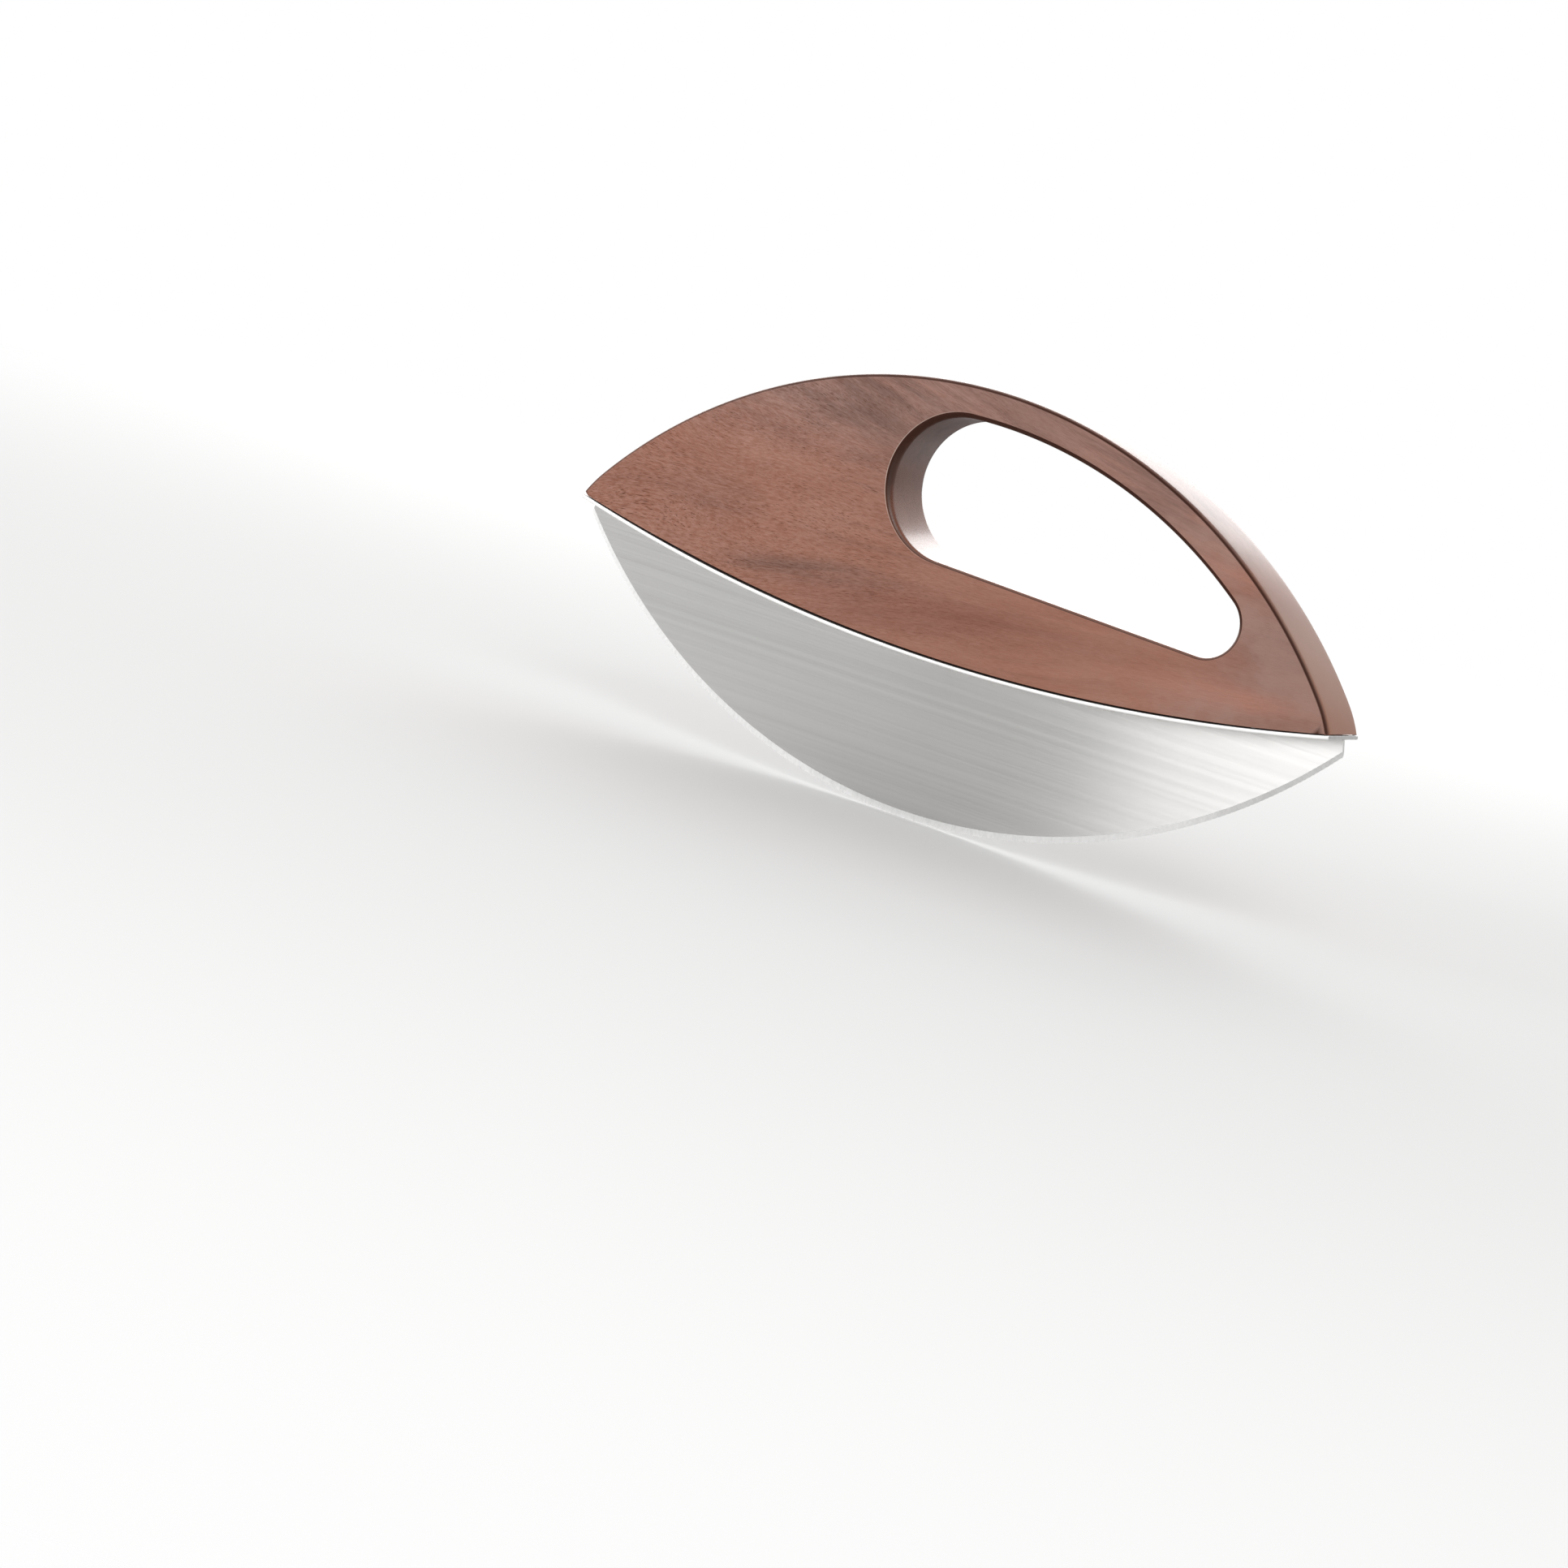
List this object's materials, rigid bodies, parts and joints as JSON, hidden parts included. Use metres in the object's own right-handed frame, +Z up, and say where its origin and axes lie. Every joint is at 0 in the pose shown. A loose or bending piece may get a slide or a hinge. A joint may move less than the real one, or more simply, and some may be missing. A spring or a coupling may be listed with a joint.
{
  "type": "rocking knife",
  "caption": "Rocking knife: a curved steel blade under a curved steel spine strip, screwed to a lens-shaped wooden handle with an off-centre finger hole.",
  "frame": {"origin": "on the surface that the knife stands on, under the lowest point of the cutting edge, midway along the length and the thickness", "axes": "+X along the length towards the narrow end of the finger hole, +Z up from the cutting edge to the handle, +Y through the thickness, away from the front side"},
  "size_m": [0.2622, 0.024, 0.1334],
  "materials": {
    "handle_wood": "satin oiled dark reddish-brown wood with fine pores along the length",
    "spine_steel": "fine satin stainless steel with bright edges",
    "blade_steel": "brushed stainless steel, brushed along the length, with a ground bevel",
    "screw_steel": "bright turned stainless steel"
  },
  "bodies": {
    "root": {"handle": "handle_wood", "spine_strip": "spine_steel", "blade": "blade_steel", "screw_1_front": "screw_steel", "screw_1_rear": "screw_steel", "screw_2_front": "screw_steel", "screw_2_rear": "screw_steel", "screw_3_front": "screw_steel", "screw_3_rear": "screw_steel"}
  },
  "joints": []
}
